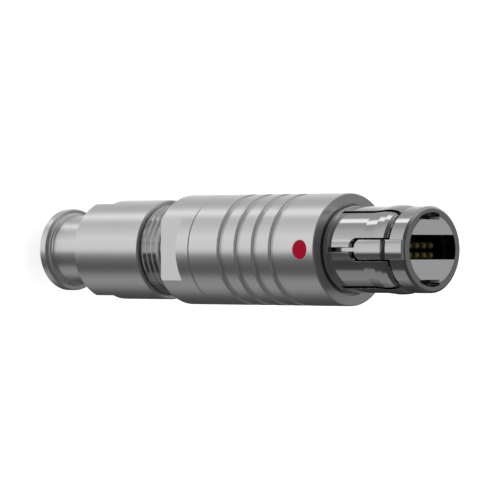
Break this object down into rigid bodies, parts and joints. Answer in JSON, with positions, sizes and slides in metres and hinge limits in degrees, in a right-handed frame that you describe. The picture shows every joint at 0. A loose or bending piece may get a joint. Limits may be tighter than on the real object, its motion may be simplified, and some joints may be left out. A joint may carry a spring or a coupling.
{
  "type": "push pull circular connector plug",
  "caption": "Straight metal push-pull circular plug: grooved grip sleeve, slotted latch sleeve, keyed nose with a contact insert, and a screwed cable clamp at the rear.",
  "frame": {"origin": "centre of the rear flange's back face, on the axis, where the plug stands", "axes": "+Z along the axis from the cable entry to the nose; -Y towards the key and the index dot; the wrench flats of the back nut face +X and -X"},
  "size_m": [0.012, 0.012, 0.0549],
  "materials": {
    "satin_chrome": "matt chrome plating, satin",
    "bright_chrome": "polished chrome plating",
    "insert_plate": "matt nickel plating",
    "index_red": "smooth enamel fill",
    "insulator_resin": "moulded",
    "contact_gold": "gold plating over brass",
    "bare_brass": "turned brass",
    "washer_steel": "turned steel"
  },
  "bodies": {
    "plug_body": {"front_shell": "bright_chrome", "rear_body": "satin_chrome", "upper_half_shell": "insert_plate", "lower_half_shell": "insert_plate", "insulator": "insulator_resin", "insert_ring_nut": "bare_brass", "contact_pin_1": "contact_gold", "contact_pin_2": "contact_gold", "contact_pin_3": "contact_gold", "contact_pin_4": "contact_gold", "contact_pin_5": "contact_gold", "contact_pin_6": "contact_gold", "contact_pin_7": "contact_gold", "contact_pin_8": "contact_gold", "contact_pin_9": "contact_gold", "contact_pin_10": "contact_gold"},
    "sleeve": {"grip_sleeve": "satin_chrome", "latch_sleeve": "bright_chrome", "index_dot": "index_red"},
    "clamp": {"collet": "bare_brass", "thrust_washer": "washer_steel"},
    "nut": {"back_nut": "satin_chrome"}
  },
  "joints": [
    {"name": "sleeve_slide", "type": "slide", "parent": "plug_body", "child": "sleeve", "axis": [0, 0, 1], "range_m": [0, 0.00045]},
    {"name": "clamp_slide", "type": "slide", "parent": "plug_body", "child": "clamp", "axis": [0, 0, 1], "range_m": [-0.00526, 0]},
    {"name": "nut_turn", "type": "hinge", "parent": "clamp", "child": "nut", "pos_m": [0, 0, 0.012], "axis": [0, 0, 1], "range_deg": [-2520, 0]}
  ],
  "couplings": [
    {"joint": "clamp_slide", "follows": "nut_turn", "m_per_rad": 0.00011937}
  ]
}
